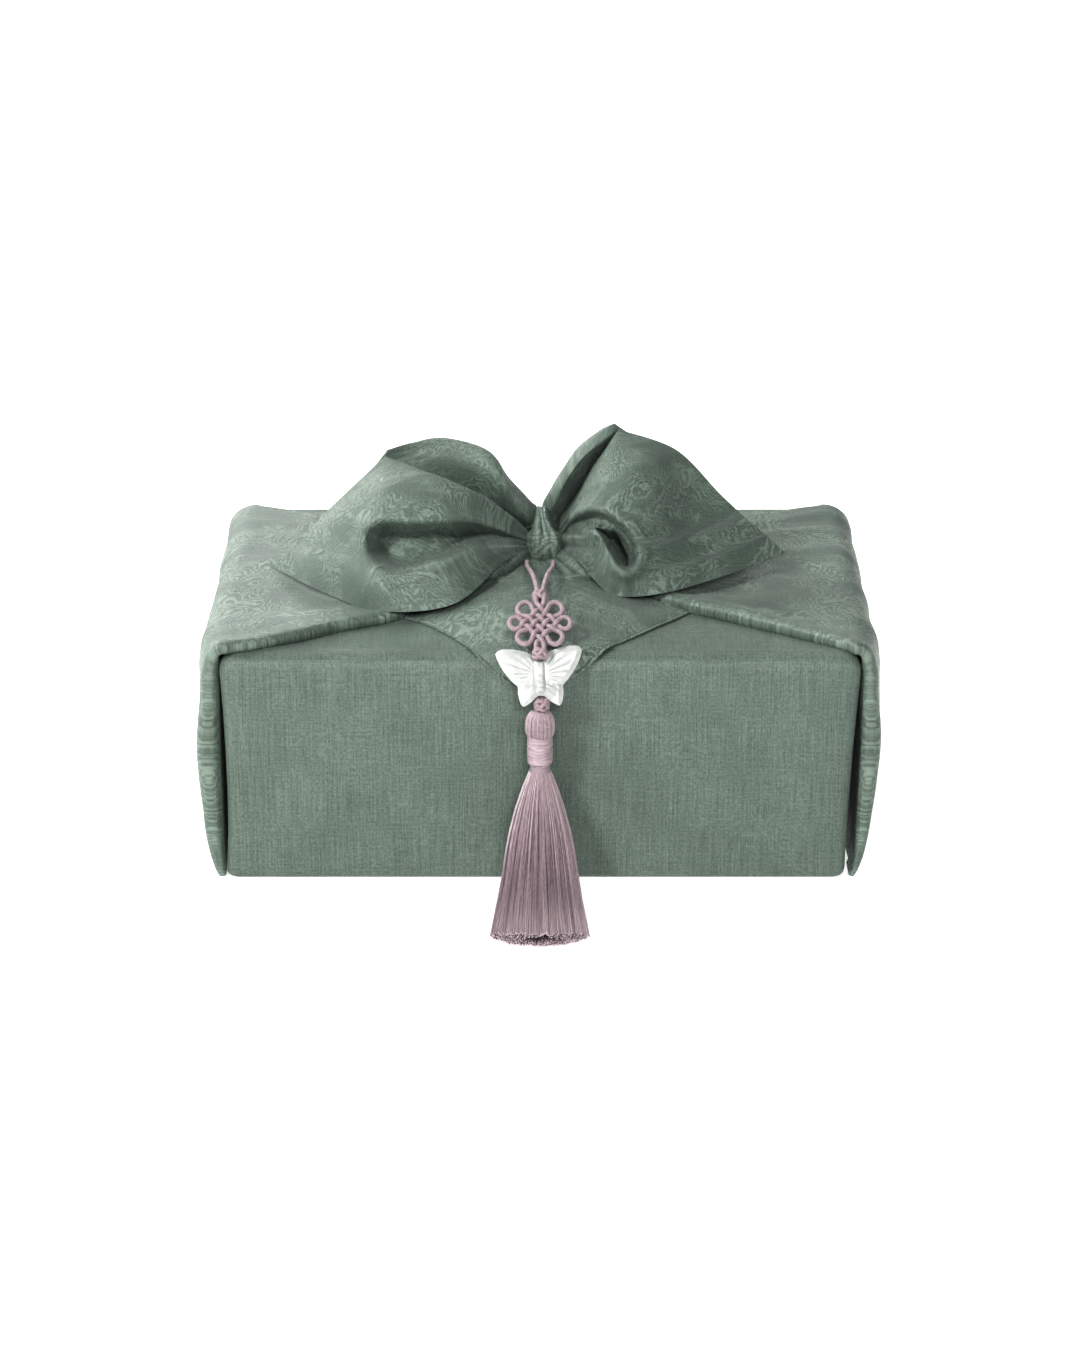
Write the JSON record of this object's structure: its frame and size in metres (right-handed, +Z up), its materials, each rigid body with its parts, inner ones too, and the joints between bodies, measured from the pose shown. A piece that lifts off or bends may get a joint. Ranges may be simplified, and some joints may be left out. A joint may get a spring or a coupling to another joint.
{
  "type": "wrapped gift bundle",
  "caption": "Box-shaped bundle wrapped in satin cloth, its ends tied on top in a two-eared bow, with a knotted cord, a carved butterfly and a tassel hanging down the front.",
  "frame": {"origin": "middle of the bundle's flat underside, on the surface it stands on", "axes": "+Z up, -Y towards the front that the ornament hangs down, +X to the right seen from the front"},
  "size_m": [0.2922, 0.291, 0.1714],
  "materials": {
    "satin_cloth": "sage green woven satin",
    "braided_cord": "dusty lilac braided cord",
    "carved_stone": "polished pale jade",
    "tassel_thread": "dusty lilac silky thread"
  },
  "bodies": {
    "root": {"cloth": "satin_cloth", "cord_loop": "braided_cord", "button_knot_top": "braided_cord", "endless_knot": "braided_cord", "button_knot_mid": "braided_cord", "butterfly": "carved_stone", "button_knot_low": "braided_cord", "tassel": "tassel_thread", "neck_binding": "tassel_thread"}
  },
  "joints": []
}
